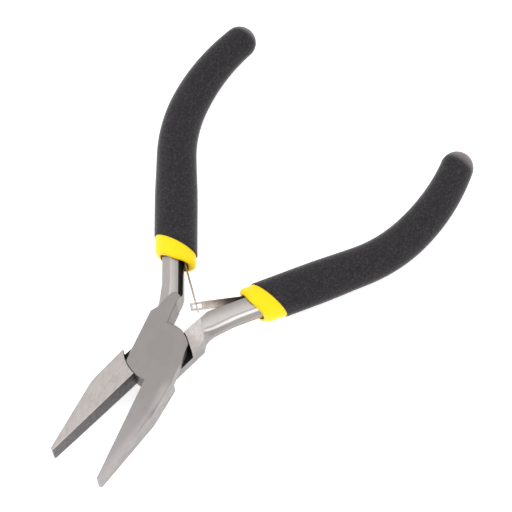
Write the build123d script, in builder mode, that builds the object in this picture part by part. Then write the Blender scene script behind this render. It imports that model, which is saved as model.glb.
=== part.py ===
from build123d import *
import os
from math import asin, atan2, cos, degrees, radians, sin, tan

# Flat nose pliers with a lap joint, two return leaf springs and dipped handles.
# The frame's origin is where the pivot axis meets the joint's lower face. +X runs from the
# pivot between the handles, +Y towards the handle of the upper half, +Z is up.
# Each half is drawn in its own frame: x along its closed centre line, y towards its own
# handle, z out of its own plate, with the origin on the pivot at mid thickness.

# Driving dimensions, in mm and degrees
JOINT_THICKNESS = 7.0
HALF_OPENING = 10.4
JAW_REACH = 36.0
JAW_TIP_THICKNESS = 5.7
JAW_TIP_WIDTH = 0.75
JAW_TAPER_START_X = -9.0
JAW_SHOULDER = {"upper": (-16.4, -5.55), "lower": (-17.1, -6.05)}
JAW_SHOULDER_ROUND = 9.0
JAW_TIP_ROUND = 0.35
JAW_BACK_ROUND = 1.4
JAW_BACK_PATH_START = (-3.0, -8.4)
JAW_BACK_PATH_GAP = 0.35
JAW_BACK_PATH_END = (-40.0, -2.4)
JAW_BACK_PATH_ROUND = 20.0
PLATE_WIDTH = 12.7
PLATE_FRONT_RADIUS = 8.8
PLATE_REAR_RADIUS = 7.0
PLATE_REAR_ANGLE = 57.0
PLATE_FLANK_START_X = -6.6
PLATE_FLANK_END_X = 8.2
PLATE_CHAMFER = 0.2
SHOULDER_FRONT_RADIUS = 8.88
SHOULDER_REAR_RADIUS = 7.1
SHOULDER_STRAIGHT_FROM = 28.0
SHOULDER_STRAIGHT_LENGTH = 5.0
REAR_ARC_OVERRUN = 9.5
PLATE_GAP = 0.06
PIVOT_RADIUS = 2.5
PIVOT_HEAD_RADIUS = 3.2
PIVOT_HEAD_DEPTH = 1.2
RUNNING_CLEARANCE = 0.04

HANDLE_ANGLE = 24.4
HANDLE_POINT = (37.0, 13.1)
BEND_START_X = 49.6
BEND_RADIUS = 36.0
TAIL_RADIUS = 52.0
TAIL_TURN = 23.7

SHANK_OFFSET = 0.66
SHANK_HALF_WIDTH = 2.62
SHANK_HALF_HEIGHT = 3.1
SHANK_START_X = 11.0
SHANK_ROOT = (10.6, 1.3)
PLATE_ROOT_END = [(14.6, 1.3), (15.1, 2.6), (14.7, 3.5), (12.8, 4.4), (11.2, 5.0), (10.1, 5.1)]
RECESS_ROOT_END = [(12.6, 1.3), (8.9, 6.1)]
ROOT_INNER_EDGE = [(17.0, 4.5), (8.3, 2.5)]
ROOT_WALL = [(8.3, 6.1), (9.4, 5.95), (10.6, 5.9), (12.0, 6.1), (13.6, 6.55), (17.0, 7.62)]
RECESS_RIDGE = [(8.3, 6.1), (9.2, 5.6), (10.1, 4.8), (11.3, 4.3), (12.9, 4.55), (17.0, 6.3)]
PLATE_RIDGE = [(8.3, 6.1), (9.2, 5.6), (10.1, 4.8), (11.3, 3.9), (12.9, 3.8), (17.0, 5.2)]
SHANK_WALL_LEVELS = (-0.39, 0.2)
RELIEF_MIDDLE_X = 14.0
RELIEF_LENGTH = 6.8
RELIEF_WIDTH = 6.0
TAPER_START_X = 38.0
TANG_SCALE = 0.78
TANG_TURN = 15.0

RIM_X = {"upper": 23.0, "lower": 23.6}
DIP_EDGE_X = {"upper": 27.35, "lower": 28.1}
DIP_TURN = 3.5
DIP_START_X = 19.0
CAP_RADIUS = 4.15
GRIP_HALF_SIZES = [(5.35, 4.85), (5.35, 4.85), (5.0, 4.65), (4.8, 4.5), (CAP_RADIUS, CAP_RADIUS)]
COLLAR_STEP = 0.3
GRIP_WALL = 1.0
RIM_ROUND = 0.7
OPENING_START_X = 17.0
OPENING_END_X = 25.2
OPENING_OUTER_GAP = 0.4
OPENING_INNER_GAP = 1.3
OPENING_ROUND = 2.2

SPRING_PIVOT_X = 23.05
SPRING_PIVOT_INSET = 0.35
SPRING_ANGLE = 38.6
SPRING_THICKNESS = 0.35
SPRING_WIDTH = 4.4
SPRING_HINGE_GAP = 0.2
TONGUE_START = 10.7
TONGUE_END = 13.2
TONGUE_WIDTH = 2.6
SLOT_START = 10.6
SLOT_END = 12.8
SLOT_WIDTH = 3.0
SLOTTED_LEAF_END = 13.4
FOOT_END_X = 37.0
FOOT_RIVET_X = 33.0
FOOT_RIVET_RADIUS = 1.1
FOOT_RIVET_HEAD_RADIUS = 1.8
FOOT_RIVET_HEAD_HEIGHT = 0.5
FOOT_RIVET_DEPTH = 2.0

# Derived sizes
HALF_THICKNESS = JOINT_THICKNESS / 2
PLATE_HALF_WIDTH = PLATE_WIDTH / 2
HEADING = radians(HANDLE_ANGLE)
OPENING_END_RUN = (OPENING_END_X - OPENING_START_X) / cos(HEADING)
REACH = 60.0
EDGE_TOLERANCE = 0.01
JAW_TAPER = atan2((JOINT_THICKNESS - JAW_TIP_THICKNESS) / 2, JAW_REACH + JAW_TAPER_START_X)


def half_frame(side):
    """Frame of the upper half (side 1) or of the lower half, turned over (side -1)."""
    turn = radians(HALF_OPENING)
    return Plane(
        origin=(0, 0, HALF_THICKNESS),
        x_dir=(cos(turn), side * sin(turn), 0),
        z_dir=(0, 0, side),
    )


def run_point(x, outward=0.0):
    """Point beside the handle's straight run, `outward` from its middle line."""
    y = HANDLE_POINT[1] + (x - HANDLE_POINT[0]) * tan(HEADING)
    return (x - outward * sin(HEADING), y + outward * cos(HEADING))


def handle_curve(frame, start_x, outward=0.0, tail_turn=TAIL_TURN):
    """Edges of the handle's middle line: two straight runs, a tight bend and a long tail."""
    with BuildLine(frame):
        front = Line(run_point(start_x, outward), run_point(TAPER_START_X, outward))
        rear = Line(run_point(TAPER_START_X, outward), run_point(BEND_START_X, outward))
        bend = JernArc(rear @ 1, rear % 1, BEND_RADIUS + outward, -HANDLE_ANGLE)
        tail = JernArc(bend @ 1, bend % 1, TAIL_RADIUS + outward, -tail_turn)
    return front, rear, bend, tail


def cross_plane(frame, edge, position):
    """Plane across an edge of the handle curve, its x outward and its y along the frame's z."""
    heading = edge % position
    return Plane(origin=edge @ position, x_dir=frame.z_dir.cross(heading), z_dir=heading)


def sweep_chain(frame, edges, section_at, sizes, mode):
    """Solid along joined edges, its section changing evenly from each size to the next."""
    for edge, start_size, end_size in zip(edges, sizes, sizes[1:]):
        start = section_at(cross_plane(frame, edge, 0), start_size)
        end = section_at(cross_plane(frame, edge, 1), end_size)
        sweep([start, end], path=edge, multisection=True, mode=mode)


def half_outline(plane, shoulder, root_end):
    """Plan outline of jaw, joint plate and shank root. root_end is where the flat stops."""
    front_angle = degrees(asin(PLATE_HALF_WIDTH / PLATE_FRONT_RADIUS))
    rear_sweep = PLATE_REAR_ANGLE + REAR_ARC_OVERRUN
    tip_corner = (-JAW_REACH, -JAW_TIP_WIDTH)
    with BuildSketch(plane) as outline:
        with BuildLine():
            front = CenterArc((0, 0), PLATE_FRONT_RADIUS, 180 - front_angle, front_angle)
            rear = CenterArc((0, 0), PLATE_REAR_RADIUS, -PLATE_REAR_ANGLE, rear_sweep)
            Polyline(
                front @ 1,
                (-JAW_REACH, 0),
                tip_corner,
                shoulder,
                (PLATE_FLANK_START_X, -PLATE_HALF_WIDTH),
                rear @ 0,
            )
            Polyline(
                rear @ 1,
                SHANK_ROOT,
                *root_end,
                (PLATE_FLANK_END_X, PLATE_HALF_WIDTH),
                front @ 0,
            )
        make_face()
        for corner, radius in ((shoulder, JAW_SHOULDER_ROUND), (tip_corner, JAW_TIP_ROUND)):
            fillet(outline.vertices().sort_by_distance(Vector(*corner))[0], radius)
    return outline.sketch


def shank_section(plane, scale):
    """Ground octagon of the shank: a narrow top facet and a broad lower one."""
    width = SHANK_HALF_WIDTH * scale
    height = SHANK_HALF_HEIGHT * scale
    with BuildSketch(plane) as section:
        with BuildLine():
            Polyline(
                (-width, -0.74 * height),
                (-0.83 * width, -height),
                (0.54 * width, -height),
                (width, SHANK_WALL_LEVELS[0] * height),
                (width, SHANK_WALL_LEVELS[1] * height),
                (0.17 * width, height),
                (-0.6 * width, height),
                (-width, 0.5 * height),
                close=True,
            )
        make_face()
    return section.sketch


def disc(plane, radius):
    with BuildSketch(plane) as circle:
        Circle(radius)
    return circle.sketch


def tang(frame, mode=Mode.ADD):
    """Steel handle from the joint to near the end of the grip."""
    edges = handle_curve(frame, SHANK_START_X, SHANK_OFFSET, TANG_TURN)
    scales = [1.0, 1.0, TANG_SCALE, TANG_SCALE, TANG_SCALE]
    sweep_chain(frame, edges, shank_section, scales, mode)


def polygon(plane, points):
    with BuildSketch(plane) as area:
        with BuildLine():
            Polyline(*points, close=True)
        make_face()
    return area.sketch


def root_blend(frame):
    """Hollow curve that carries the shank's outer wall and facets on to the root's corner."""
    wall_bottom, wall_top = (level * SHANK_HALF_HEIGHT for level in SHANK_WALL_LEVELS)
    wall = ROOT_WALL + ROOT_INNER_EDGE
    for wall_level, ridge_level, ridge in (
        (wall_bottom, -SHANK_HALF_HEIGHT, RECESS_RIDGE),
        (wall_top, SHANK_HALF_HEIGHT, PLATE_RIDGE),
    ):
        wall_area = polygon(frame.offset(wall_level), wall)
        ridge_area = polygon(frame.offset(ridge_level), ridge + ROOT_INNER_EDGE)
        loft([wall_area, ridge_area], ruled=True)
    extrude(polygon(frame.offset(wall_bottom), wall), amount=wall_top - wall_bottom)


def pivot_shape(clearance, mode=Mode.ADD):
    """Pivot pin with a flat head let into each outer face of the joint."""
    head = PIVOT_HEAD_RADIUS + clearance
    depth = PIVOT_HEAD_DEPTH + clearance
    extrude(disc(Plane.XY, PIVOT_RADIUS + clearance), amount=JOINT_THICKNESS, mode=mode)
    extrude(disc(Plane.XY, head), amount=depth, mode=mode)
    extrude(disc(Plane.XY.offset(JOINT_THICKNESS), head), amount=-depth, mode=mode)


def foot_rivet_shape(frame, mode=Mode.ADD):
    """Rivet through the spring foot into the tang's inner face, its head inwards."""
    inner_face = SHANK_OFFSET - SHANK_HALF_WIDTH
    inward = frame.x_dir * sin(HEADING) - frame.y_dir * cos(HEADING)
    seat = frame.from_local_coords(run_point(FOOT_RIVET_X, inner_face - SPRING_THICKNESS))
    seat_plane = Plane(origin=seat, z_dir=inward)
    depth = SPRING_THICKNESS + FOOT_RIVET_DEPTH
    extrude(disc(seat_plane, FOOT_RIVET_HEAD_RADIUS), amount=FOOT_RIVET_HEAD_HEIGHT, mode=mode)
    extrude(disc(seat_plane, FOOT_RIVET_RADIUS), amount=-depth, mode=mode)


def foot_shape(frame, mode=Mode.ADD):
    """Fixed length of the leaf spring, flat on the tang's inner face."""
    run = handle_curve(frame, SPRING_PIVOT_X + SPRING_HINGE_GAP)[0]
    length = (FOOT_END_X - SPRING_PIVOT_X - SPRING_HINGE_GAP) / cos(HEADING)
    middle = SHANK_OFFSET - SHANK_HALF_WIDTH - SPRING_THICKNESS / 2
    with BuildSketch(cross_plane(frame, run, 0)) as section:
        with Locations((middle, 0)):
            Rectangle(SPRING_THICKNESS, SPRING_WIDTH)
    extrude(section.sketch, amount=length, mode=mode)


def round_jaw_back(frame, shoulder):
    """Rounds the back edge of the jaw on the plate side, most at the shoulder."""
    top = Plane(
        origin=frame.from_local_coords((JAW_TAPER_START_X, 0, HALF_THICKNESS)),
        x_dir=frame.x_dir * cos(JAW_TAPER) + frame.z_dir * sin(JAW_TAPER),
        z_dir=frame.z_dir * cos(JAW_TAPER) - frame.x_dir * sin(JAW_TAPER),
    )
    beside_shoulder = (shoulder[0], shoulder[1] - JAW_BACK_PATH_GAP)
    corners = (JAW_BACK_PATH_START, beside_shoulder, JAW_BACK_PATH_END)
    points = [(x - JAW_TAPER_START_X, y) for x, y in corners]
    with BuildLine(top):
        path = FilletPolyline(*points, radius=JAW_BACK_PATH_ROUND)
    heading = path % 0
    radius = JAW_BACK_ROUND
    profile_plane = Plane(origin=path @ 0, x_dir=top.z_dir.cross(heading), z_dir=heading)
    with BuildSketch(profile_plane) as profile:
        with BuildLine():
            CenterArc((-radius, -radius), radius, 0, 90)
            Polyline(
                (-radius, 0),
                (-radius, radius),
                (2 * radius, radius),
                (2 * radius, -radius),
                (0, -radius),
            )
        make_face()
    sweep(profile.sketch, path=path, mode=Mode.SUBTRACT)


def bounds_plate_face(frame, edge):
    """Whether an edge runs round the plate's outer face, behind the jaw and before the shank."""
    start = frame.to_local_coords(edge @ 0)
    end = frame.to_local_coords(edge @ 1)
    middle = frame.to_local_coords(edge.center())
    is_level = abs(start.Z - HALF_THICKNESS) + abs(end.Z - HALF_THICKNESS) < EDGE_TOLERANCE
    is_closed = (end - start).length < EDGE_TOLERANCE
    from_jaw = min(start.X, end.X) > -PLATE_FRONT_RADIUS - EDGE_TOLERANCE
    is_rim = middle.X < PLATE_ROOT_END[1][0] and from_jaw
    return is_level and is_rim and not is_closed


def shoulder_clearance(plane):
    """Room the other half's plate turns in: a disc in plan, its rear edge running out straight."""
    angle = radians(SHOULDER_STRAIGHT_FROM)
    start = (SHOULDER_REAR_RADIUS * cos(angle), SHOULDER_REAR_RADIUS * sin(angle))
    end = (
        start[0] - SHOULDER_STRAIGHT_LENGTH * sin(angle),
        start[1] + SHOULDER_STRAIGHT_LENGTH * cos(angle),
    )
    with BuildSketch(plane) as room:
        Circle(SHOULDER_FRONT_RADIUS)
        with Locations((REACH / 2, 0)):
            Rectangle(REACH, REACH, mode=Mode.SUBTRACT)
        Circle(SHOULDER_REAR_RADIUS)
        with BuildLine():
            Polyline((0, 0), start, end, (0, end[1]), close=True)
        make_face()
    return room.sketch


def forged_half(frame, pivot_clearance, shoulder):
    """One forging: jaw, joint plate, shank root and the steel handle behind it."""
    with BuildPart() as half:
        plate_face = half_outline(frame.offset(PLATE_GAP / 2), shoulder, PLATE_ROOT_END)
        extrude(plate_face, amount=HALF_THICKNESS - PLATE_GAP / 2)
        recess_face = half_outline(frame.offset(-HALF_THICKNESS), shoulder, RECESS_ROOT_END)
        extrude(recess_face, amount=HALF_THICKNESS + PLATE_GAP / 2)
        room = shoulder_clearance(frame.offset(-HALF_THICKNESS))
        extrude(room, amount=HALF_THICKNESS + PLATE_GAP / 2, mode=Mode.SUBTRACT)
        side_plane = Plane(frame.origin, x_dir=frame.x_dir, z_dir=-frame.y_dir)
        with BuildSketch(side_plane):
            with BuildLine():
                Polyline(
                    (-JAW_REACH, -JAW_TIP_THICKNESS / 2),
                    (JAW_TAPER_START_X, -HALF_THICKNESS),
                    (REACH, -HALF_THICKNESS),
                    (REACH, HALF_THICKNESS),
                    (JAW_TAPER_START_X, HALF_THICKNESS),
                    (-JAW_REACH, JAW_TIP_THICKNESS / 2),
                    close=True,
                )
            make_face()
        extrude(amount=REACH, both=True, mode=Mode.INTERSECT)
        round_jaw_back(frame, shoulder)
        rim = [edge for edge in half.edges() if bounds_plate_face(frame, edge)]
        chamfer(rim, PLATE_CHAMFER)
        tang(frame)
        root_blend(frame)
        with BuildSketch(frame.offset(-HALF_THICKNESS)):
            with Locations((RELIEF_MIDDLE_X, SHANK_ROOT[1] - RELIEF_WIDTH / 2)):
                Rectangle(RELIEF_LENGTH, RELIEF_WIDTH)
        extrude(amount=JOINT_THICKNESS, mode=Mode.SUBTRACT)
        pivot_shape(pivot_clearance, mode=Mode.SUBTRACT)
        foot_rivet_shape(frame, mode=Mode.SUBTRACT)
    return half.part


def oval(plane, half_sizes):
    with BuildSketch(plane) as section:
        Ellipse(*half_sizes)
    return section.sketch


def dip_body(frame, trim, mode=Mode.ADD):
    """Dipped handle with its rounded end, `trim` smaller all round than the finished grip."""
    edges = handle_curve(frame, DIP_START_X)
    half_sizes = [(width - trim, height - trim) for width, height in GRIP_HALF_SIZES]
    sweep_chain(frame, edges, oval, half_sizes, mode)
    with Locations(edges[-1] @ 1):
        Sphere(CAP_RADIUS - trim, mode=mode)


def dip_plane(frame, x):
    """Plane that ends a dipped layer at x on the handle's middle line, turned with the dip."""
    place = frame.from_local_coords(run_point(x))
    turn = radians(DIP_TURN)
    return Plane(origin=place, z_dir=frame.x_dir * cos(turn) - frame.y_dir * sin(turn))


def sleeve(frame, rim_x, edge_x):
    """Inner dip layer: the thick bright collar in front and the thin layer under the grip."""
    rim_plane = dip_plane(frame, rim_x)
    opening_run = handle_curve(frame, OPENING_START_X)[0]
    with BuildPart() as layer:
        dip_body(frame, COLLAR_STEP)
        split(bisect_by=dip_plane(frame, edge_x), keep=Keep.BOTTOM)
        dip_body(frame, GRIP_WALL)
        split(bisect_by=rim_plane, keep=Keep.TOP)
        rim = layer.faces().sort_by(Axis(rim_plane.origin, rim_plane.z_dir))[0]
        fillet(rim.edges(), RIM_ROUND)
        with BuildSketch(cross_plane(frame, opening_run, 0)):
            with Locations((SHANK_OFFSET + (OPENING_OUTER_GAP - OPENING_INNER_GAP) / 2, 0)):
                RectangleRounded(
                    2 * SHANK_HALF_WIDTH + OPENING_OUTER_GAP + OPENING_INNER_GAP,
                    2 * SHANK_HALF_HEIGHT + 2 * OPENING_OUTER_GAP,
                    OPENING_ROUND,
                )
        extrude(amount=OPENING_END_RUN, mode=Mode.SUBTRACT)
        tang(frame, mode=Mode.SUBTRACT)
        foot_shape(frame, mode=Mode.SUBTRACT)
        foot_rivet_shape(frame, mode=Mode.SUBTRACT)
    return layer.part


def grip(frame, edge_x):
    """Outer foamed layer, from the collar's rear edge to the rounded end."""
    with BuildPart() as layer:
        dip_body(frame, 0.0)
        split(bisect_by=dip_plane(frame, edge_x), keep=Keep.TOP)
        dip_body(frame, GRIP_WALL, mode=Mode.SUBTRACT)
    return layer.part


def spring_foot(frame):
    with BuildPart() as foot:
        foot_shape(frame)
        foot_rivet_shape(frame, mode=Mode.SUBTRACT)
    return foot.part


def spring_rivet(frame):
    with BuildPart() as rivet:
        foot_rivet_shape(frame)
    return rivet.part


def spring_leaf(frame, slotted):
    """Free length of a leaf spring, ending in a tongue or in a slot that takes the tongue."""
    turn = radians(SPRING_ANGLE)
    inner_face = SHANK_OFFSET - SHANK_HALF_WIDTH
    root = frame.from_local_coords(run_point(SPRING_PIVOT_X, inner_face - SPRING_PIVOT_INSET))
    heading = -frame.x_dir * cos(turn) - frame.y_dir * sin(turn)
    leaf_plane = Plane(origin=root, x_dir=heading, z_dir=heading.cross(frame.z_dir))
    align = (Align.MIN, Align.CENTER)
    with BuildPart() as leaf:
        with BuildSketch(leaf_plane):
            with Locations((SPRING_HINGE_GAP, 0)):
                full_end = SLOTTED_LEAF_END if slotted else TONGUE_START
                Rectangle(full_end - SPRING_HINGE_GAP, SPRING_WIDTH, align=align)
            if slotted:
                with Locations((SLOT_START, 0)):
                    Rectangle(SLOT_END - SLOT_START, SLOT_WIDTH, align=align, mode=Mode.SUBTRACT)
            else:
                with Locations((SPRING_HINGE_GAP, 0)):
                    Rectangle(TONGUE_END - SPRING_HINGE_GAP, TONGUE_WIDTH, align=align)
        extrude(amount=SPRING_THICKNESS / 2, both=True)
    return leaf.part


os.makedirs("parts", exist_ok=True)
pieces = {}
for name, side in (("upper", 1), ("lower", -1)):
    frame = half_frame(side)
    clearance = 0.0 if side == 1 else RUNNING_CLEARANCE
    pieces[name + "_half"] = forged_half(frame, clearance, JAW_SHOULDER[name])
    pieces[name + "_sleeve"] = sleeve(frame, RIM_X[name], DIP_EDGE_X[name])
    pieces[name + "_grip"] = grip(frame, DIP_EDGE_X[name])
    pieces[name + "_spring_foot"] = spring_foot(frame)
    pieces[name + "_spring_rivet"] = spring_rivet(frame)
    pieces[name + "_spring_leaf"] = spring_leaf(frame, slotted=(side == -1))

with BuildPart() as pivot_rivet:
    pivot_shape(0.0)
pieces["pivot_rivet"] = pivot_rivet.part

for name, piece in pieces.items():
    piece.label = name
    export_step(piece, "parts/" + name + ".step")
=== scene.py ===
"""Flat nose pliers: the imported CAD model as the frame, with detailed grips, collars and springs.

Lengths in this file are millimetres in the frame's axes unless a name says otherwise. Each half
of the pliers also has a frame of its own: x along its closed centre line towards the handles,
y towards its own handle, z out of its own joint plate, with the origin on the pivot.
"""
from math import ceil, cos, pi, radians, sin, sqrt, tan
import bmesh
import bpy
from mathutils import Matrix, Vector


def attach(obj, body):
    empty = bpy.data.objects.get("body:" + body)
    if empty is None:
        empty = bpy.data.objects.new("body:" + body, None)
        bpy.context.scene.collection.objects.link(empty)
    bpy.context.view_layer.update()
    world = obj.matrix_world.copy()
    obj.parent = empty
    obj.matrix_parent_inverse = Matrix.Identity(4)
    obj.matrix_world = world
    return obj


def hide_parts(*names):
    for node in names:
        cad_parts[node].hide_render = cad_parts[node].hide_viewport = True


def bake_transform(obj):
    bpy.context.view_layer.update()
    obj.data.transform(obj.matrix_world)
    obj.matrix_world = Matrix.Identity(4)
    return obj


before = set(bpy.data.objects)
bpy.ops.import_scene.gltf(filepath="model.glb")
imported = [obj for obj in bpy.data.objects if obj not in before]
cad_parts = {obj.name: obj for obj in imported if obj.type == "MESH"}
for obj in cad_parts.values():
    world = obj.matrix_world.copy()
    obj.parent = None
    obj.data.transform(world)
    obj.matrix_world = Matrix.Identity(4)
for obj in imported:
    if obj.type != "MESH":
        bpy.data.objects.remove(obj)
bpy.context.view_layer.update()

MM = 0.001
PER_METRE = 1000.0
# Part of a direction that counts as none, sine of an angle that counts as parallel, no limit
TINY = 1e-9
PARALLEL = 1e-12
FAR = 1e9

# Shape of the handles, as in the CAD source
MID_HEIGHT = 3.5
HALF_OPENING = radians(10.4)
HEADING = radians(24.4)
HANDLE_POINT = (37.0, 13.1)
BEND_START_X = 49.6
BEND_RADIUS = 36.0
TAIL_RADIUS = 52.0
TAIL_TURN = radians(23.7)
TANG_TURN = radians(15.0)
TAPER_START_X = 38.0
DIP_START_X = 19.0
RIM_X = {"upper": 23.0, "lower": 23.6}
DIP_EDGE_X = {"upper": 27.35, "lower": 28.1}
DIP_LEAN = 1.17
GRIP_SIZES = [(5.35, 4.85), (5.35, 4.85), (5.0, 4.65), (4.8, 4.5), (4.15, 4.15)]
CAP_RADIUS = 4.15
GRIP_WALL = 1.0
SHANK_OFFSET = 0.66
SHANK_HALF_WIDTH = 2.62
SHANK_HALF_HEIGHT = 3.1
TANG_SCALE = 0.78

SIDES = (("upper", 1), ("lower", -1))


def half_matrix(side):
    """Matrix from a half's own frame (side 1 the upper half, -1 the lower) to the model's."""
    x_dir = Vector((cos(HALF_OPENING), side * sin(HALF_OPENING), 0))
    z_dir = Vector((0, 0, side))
    y_dir = z_dir.cross(x_dir)
    turned = Matrix((x_dir, y_dir, z_dir)).transposed().to_4x4()
    return Matrix.Translation((0, 0, MID_HEIGHT)) @ turned


# ---------------------------------------------------------------- handle curve

def run_point(x, outward=0.0):
    """Point on the handle's straight run at x, moved outward from its middle line."""
    y = HANDLE_POINT[1] + (x - HANDLE_POINT[0]) * tan(HEADING)
    return (x - outward * sin(HEADING), y + outward * cos(HEADING))


RUN_LENGTH = (BEND_START_X - DIP_START_X) / cos(HEADING)
BEND_LENGTH = BEND_RADIUS * HEADING
TAIL_LENGTH = TAIL_RADIUS * TAIL_TURN
TAPER_AT = (TAPER_START_X - DIP_START_X) / cos(HEADING)
CURVE_LENGTH = RUN_LENGTH + BEND_LENGTH + TAIL_LENGTH


def station(s):
    """Point on the handle's middle line at length s from DIP_START_X, and the heading there."""
    x0, y0 = run_point(DIP_START_X)
    if s <= RUN_LENGTH:
        return (x0 + s * cos(HEADING), y0 + s * sin(HEADING)), HEADING
    x1, y1 = run_point(BEND_START_X)
    turn = min(s - RUN_LENGTH, BEND_LENGTH) / BEND_RADIUS
    cx, cy = x1 + BEND_RADIUS * sin(HEADING), y1 - BEND_RADIUS * cos(HEADING)
    heading = HEADING - turn
    point = (cx - BEND_RADIUS * sin(heading), cy + BEND_RADIUS * cos(heading))
    rest = s - RUN_LENGTH - BEND_LENGTH
    if rest <= 0:
        return point, heading
    turn = rest / TAIL_RADIUS
    cx, cy = point[0] + TAIL_RADIUS * sin(heading), point[1] - TAIL_RADIUS * cos(heading)
    heading -= turn
    return (cx - TAIL_RADIUS * sin(heading), cy + TAIL_RADIUS * cos(heading)), heading


def smooth(t):
    """Smooth step from 0 to 1."""
    t = max(0.0, min(1.0, t))
    return t * t * (3 - 2 * t)


STATIONS = [0.0, TAPER_AT, RUN_LENGTH, RUN_LENGTH + BEND_LENGTH, CURVE_LENGTH]


def between(s, values):
    """Value at length s, from one value for each of the curve's stations, without corners."""
    for k in range(len(STATIONS) - 1):
        if s <= STATIONS[k + 1] or k == len(STATIONS) - 2:
            t = (s - STATIONS[k]) / (STATIONS[k + 1] - STATIONS[k])
            break
    p1, p2 = values[k], values[k + 1]
    slope = [0.0] * len(values)
    for j in range(1, len(values) - 1):
        before = (values[j] - values[j - 1]) / (STATIONS[j] - STATIONS[j - 1])
        after = (values[j + 1] - values[j]) / (STATIONS[j + 1] - STATIONS[j])
        slope[j] = 0.0 if before * after <= 0 else 2 * before * after / (before + after)
    slope[-1] = (values[-1] - values[-2]) / (STATIONS[-1] - STATIONS[-2])
    h = STATIONS[k + 1] - STATIONS[k]
    t = max(0.0, min(1.0, t))
    return (
        p1 * (2 * t**3 - 3 * t**2 + 1)
        + p2 * (3 * t**2 - 2 * t**3)
        + h * slope[k] * (t**3 - 2 * t**2 + t)
        + h * slope[k + 1] * (t**3 - t**2)
    )


def grip_sizes(s):
    """Half width and half height of the grip at length s."""
    return between(s, [a for a, b in GRIP_SIZES]), between(s, [b for a, b in GRIP_SIZES])


# ---------------------------------------------------------------- rings and lofts

def oval(a, b, count):
    """Points round an ellipse."""
    return [(a * cos(2 * pi * k / count), b * sin(2 * pi * k / count)) for k in range(count)]


def rounded_box(half_width, half_height, radius, middle, count):
    """Points on a rounded rectangle, one at each of the angles that oval() uses."""
    points = []
    for k in range(count):
        a = 2 * pi * k / count
        ux, uy = cos(a), sin(a)
        t = min(
            half_width / abs(ux) if abs(ux) > TINY else FAR,
            half_height / abs(uy) if abs(uy) > TINY else FAR,
        )
        cx, cy = half_width - radius, half_height - radius
        px, py = abs(ux * t), abs(uy * t)
        if px > cx and py > cy:
            b = ux * ux + uy * uy
            h = abs(ux) * cx + abs(uy) * cy
            t = (h + sqrt(max(0.0, h * h - b * (cx * cx + cy * cy - radius * radius)))) / b
        points.append((ux * t + middle, uy * t))
    return points


def polygon_ring(corners, middle, count):
    """Points on a convex polygon round its middle, one at each of the angles of oval()."""
    points = []
    for k in range(count):
        a = 2 * pi * k / count
        ux, uy = cos(a), sin(a)
        best = FAR
        for (x1, y1), (x2, y2) in zip(corners, corners[1:] + corners[:1]):
            dx, dy = x2 - x1, y2 - y1
            cross = ux * dy - uy * dx
            if abs(cross) < PARALLEL:
                continue
            t = (x1 * dy - y1 * dx) / cross
            if t > 0:
                best = min(best, t)
        points.append((ux * best + middle, uy * best))
    return points


def across(s, profile):
    """Ring square to the handle at length s."""
    (x, y), heading = station(s)
    return [(x - o * sin(heading), y + o * cos(heading), u) for o, u in profile]


def across_x(x_at, profile, lean=DIP_LEAN, inner_lean=None):
    """Ring on the handle's straight run, leaning forward on the inner side as the dip edges do."""
    ring = []
    for o, u in profile:
        tilt = inner_lean if inner_lean is not None and o < 0 else lean
        x, y = run_point(x_at + tilt * o * sin(HEADING), o)
        ring.append((x, y, u))
    return ring


def loft(rings):
    """Vertices and faces of a skin through rings of equal count, closed by a fan at each end."""
    count = len(rings[0])
    verts = [v for ring in rings for v in ring]
    faces = []
    for r in range(len(rings) - 1):
        for k in range(count):
            a = r * count + k
            b = r * count + (k + 1) % count
            faces.append((a, b, b + count, a + count))
    for r in (0, len(rings) - 1):
        m = len(verts)
        verts.append(tuple(sum(v[i] for v in rings[r]) / count for i in range(3)))
        for k in range(count):
            a = r * count + k
            b = r * count + (k + 1) % count
            faces.append((m, b, a) if r == 0 else (m, a, b))
    return verts, faces


SMOOTH_ANGLE = 40.0
STRIP_SMOOTH_ANGLE = 30.0


def make_mesh(name, verts, faces, matrix, material, smooth_angle=SMOOTH_ANGLE):
    """Mesh object from points in a half's frame, shaded smooth below an angle."""
    mesh = bpy.data.meshes.new(name)
    mesh.from_pydata([matrix @ Vector(v) * MM for v in verts], [], faces)
    mesh.validate()
    mesh.materials.append(material)
    obj = bpy.data.objects.new(name, mesh)
    bpy.context.scene.collection.objects.link(obj)
    for polygon in mesh.polygons:
        polygon.use_smooth = True
    bm = bmesh.new()
    bm.from_mesh(mesh)
    bmesh.ops.recalc_face_normals(bm, faces=bm.faces)
    for edge in bm.edges:
        if len(edge.link_faces) == 2 and edge.calc_face_angle(0) > radians(smooth_angle):
            edge.smooth = False
    bm.to_mesh(mesh)
    bm.free()
    return obj


# ---------------------------------------------------------------- materials

def linear(r, g, b):
    """Linear colour from 0-255 display values."""
    out = []
    for v in (r, g, b):
        c = v / 255
        out.append(c / 12.92 if c <= 0.04045 else ((c + 0.055) / 1.055) ** 2.4)
    return (*out, 1.0)


# Inputs and outputs of a Mix node, which share their names between data types
FLOAT_A, FLOAT_B, COLOUR_A, COLOUR_B = 2, 3, 6, 7
FLOAT_RESULT, COLOUR_RESULT = 0, 2


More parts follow.
